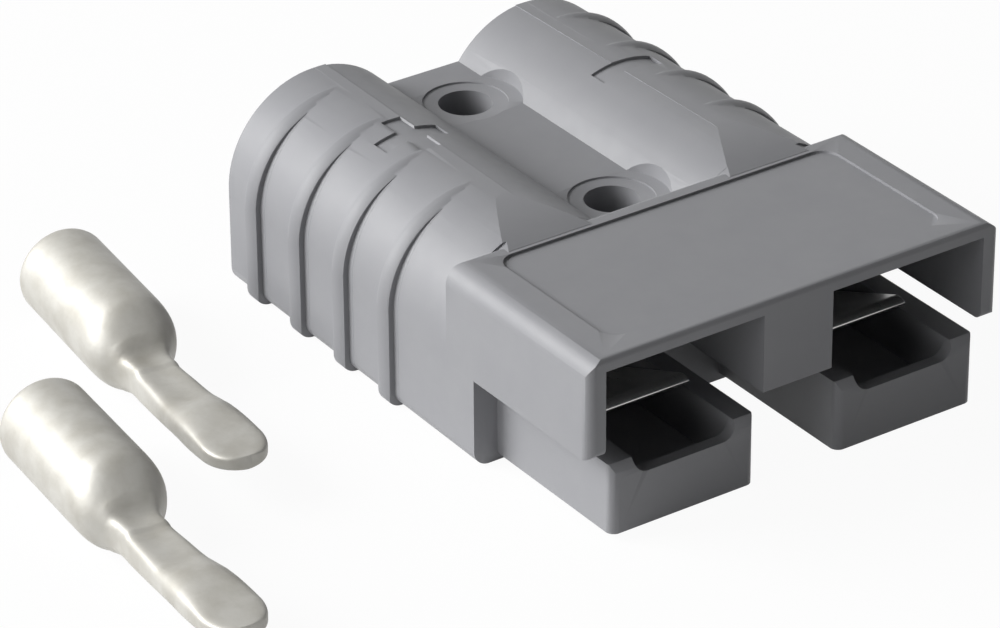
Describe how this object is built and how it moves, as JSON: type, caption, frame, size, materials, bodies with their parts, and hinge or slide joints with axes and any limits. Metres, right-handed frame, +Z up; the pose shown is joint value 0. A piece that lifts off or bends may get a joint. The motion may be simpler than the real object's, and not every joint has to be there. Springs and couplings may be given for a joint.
{
  "type": "two-pole genderless power connector",
  "caption": "Genderless two-pole high-current power connector: ribbed grey housing with hood and open trays, leaf springs, and crimp contacts lying beside it.",
  "frame": {"origin": "midway between the two mounting holes, on the underside of the housing", "axes": "+Z up through the mounting holes; +Y towards the cable end, so -Y is the mating face; +X across the poles towards the minus pole"},
  "size_m": [0.0672, 0.0513, 0.016],
  "materials": {
    "housing": "moulded polycarbonate, mid grey, fine matt mould texture",
    "spring": "rolled stainless spring strip",
    "contact": "silver-plated copper, satin with faint tarnish"
  },
  "bodies": {
    "root": {"housing": "housing", "spring_left": "spring", "spring_right": "spring", "contact_first": "contact", "contact_second": "contact"}
  },
  "joints": []
}
